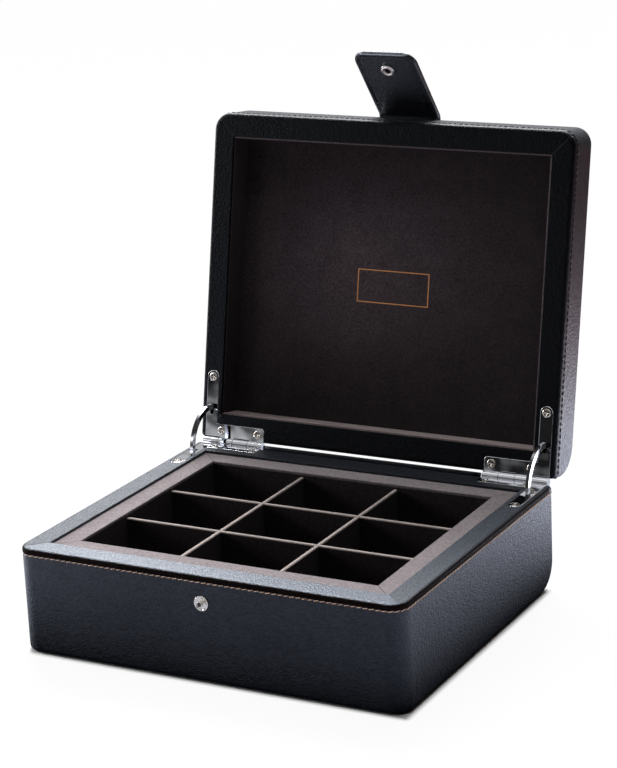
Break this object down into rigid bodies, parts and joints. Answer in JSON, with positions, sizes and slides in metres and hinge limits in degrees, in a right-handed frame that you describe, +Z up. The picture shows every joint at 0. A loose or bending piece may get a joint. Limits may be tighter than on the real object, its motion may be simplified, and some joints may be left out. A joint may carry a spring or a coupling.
{
  "type": "cufflink display box",
  "caption": "Leather-covered cufflink box, stored open: suede-lined compartments in the base, a hollow lined lid on stop hinges, and a snap tab.",
  "frame": {"origin": "middle of the underside of the base", "axes": "+X to the right along the front, +Y from the front to the hinges, +Z up"},
  "size_m": [0.22, 0.2572, 0.2811],
  "materials": {
    "black_leather": "fine pebble grain, semi-matt, stitched along the rims",
    "taupe_suede": "short-napped suede",
    "dark_suede": "short-napped suede",
    "felt": "matt felt",
    "wood_board": "bare board, all covered",
    "stiffener_board": "stiff sheet, covered",
    "chrome": "polished chrome plate",
    "nickel": "polished nickel plate"
  },
  "bodies": {
    "base": {"base_carcass": "wood_board", "base_leather_wrap": "black_leather", "underside_felt": "felt", "base_rim_front": "black_leather", "base_rim_right": "black_leather", "base_rim_rear": "black_leather", "base_rim_left": "black_leather", "tray_floor": "wood_board", "tray_rail_front": "wood_board", "tray_rail_rear": "wood_board", "tray_rail_left": "wood_board", "tray_rail_right": "wood_board", "tray_lining_front": "taupe_suede", "tray_lining_rear": "taupe_suede", "tray_lining_left": "taupe_suede", "tray_lining_right": "taupe_suede", "tray_frame_front": "taupe_suede", "tray_frame_right": "taupe_suede", "tray_frame_rear": "taupe_suede", "tray_frame_left": "taupe_suede", "divider_long_front": "taupe_suede", "divider_long_rear": "taupe_suede", "divider_cross_left": "taupe_suede", "divider_cross_right": "taupe_suede", "compartment_pads": "taupe_suede", "snap_stud": "nickel", "lower_leaf_left": "chrome", "lower_leaf_right": "chrome", "hinge_pin_left": "chrome", "hinge_pin_right": "chrome", "lower_leaf_screws": "chrome"},
    "lid": {"lid_carcass": "wood_board", "lid_leather_wrap": "black_leather", "lid_rim_front": "black_leather", "lid_rim_right": "black_leather", "lid_rim_rear": "black_leather", "lid_rim_left": "black_leather", "lid_lining_panel": "dark_suede", "lid_lining_front": "dark_suede", "lid_lining_rear": "dark_suede", "lid_lining_left": "dark_suede", "lid_lining_right": "dark_suede", "upper_leaf_left": "chrome", "upper_leaf_right": "chrome", "upper_leaf_screws": "chrome", "tab_anchor": "black_leather", "tab_fold_core": "black_leather"},
    "left_arm": {"quadrant_arm_left": "chrome"},
    "right_arm": {"quadrant_arm_right": "chrome"},
    "tab": {"tab_lining": "black_leather", "tab_stiffener": "stiffener_board", "tab_leather": "black_leather", "snap_socket": "nickel", "snap_spring": "nickel"}
  },
  "joints": [
    {"name": "lid_hinge", "type": "hinge", "parent": "base", "child": "lid", "pos_m": [0, 0.095, 0.0572], "axis": [1, 0, 0], "range_deg": [0, 101.5]},
    {"name": "left_arm_swing", "type": "hinge", "parent": "base", "child": "left_arm", "pos_m": [-0.10325, 0.095, 0.0572], "axis": [1, 0, 0], "range_deg": [0, 56]},
    {"name": "right_arm_swing", "type": "hinge", "parent": "base", "child": "right_arm", "pos_m": [0.10325, 0.095, 0.0572], "axis": [1, 0, 0], "range_deg": [0, 56]},
    {"name": "tab_fold", "type": "hinge", "parent": "lid", "child": "tab", "pos_m": [0, 0.1551, 0.23876], "axis": [1, 0, 0], "range_deg": [-50, 43.68]}
  ],
  "couplings": [
    {"joint": "left_arm_swing", "follows": "lid_hinge", "ratio": 0.55},
    {"joint": "right_arm_swing", "follows": "lid_hinge", "ratio": 0.55}
  ]
}
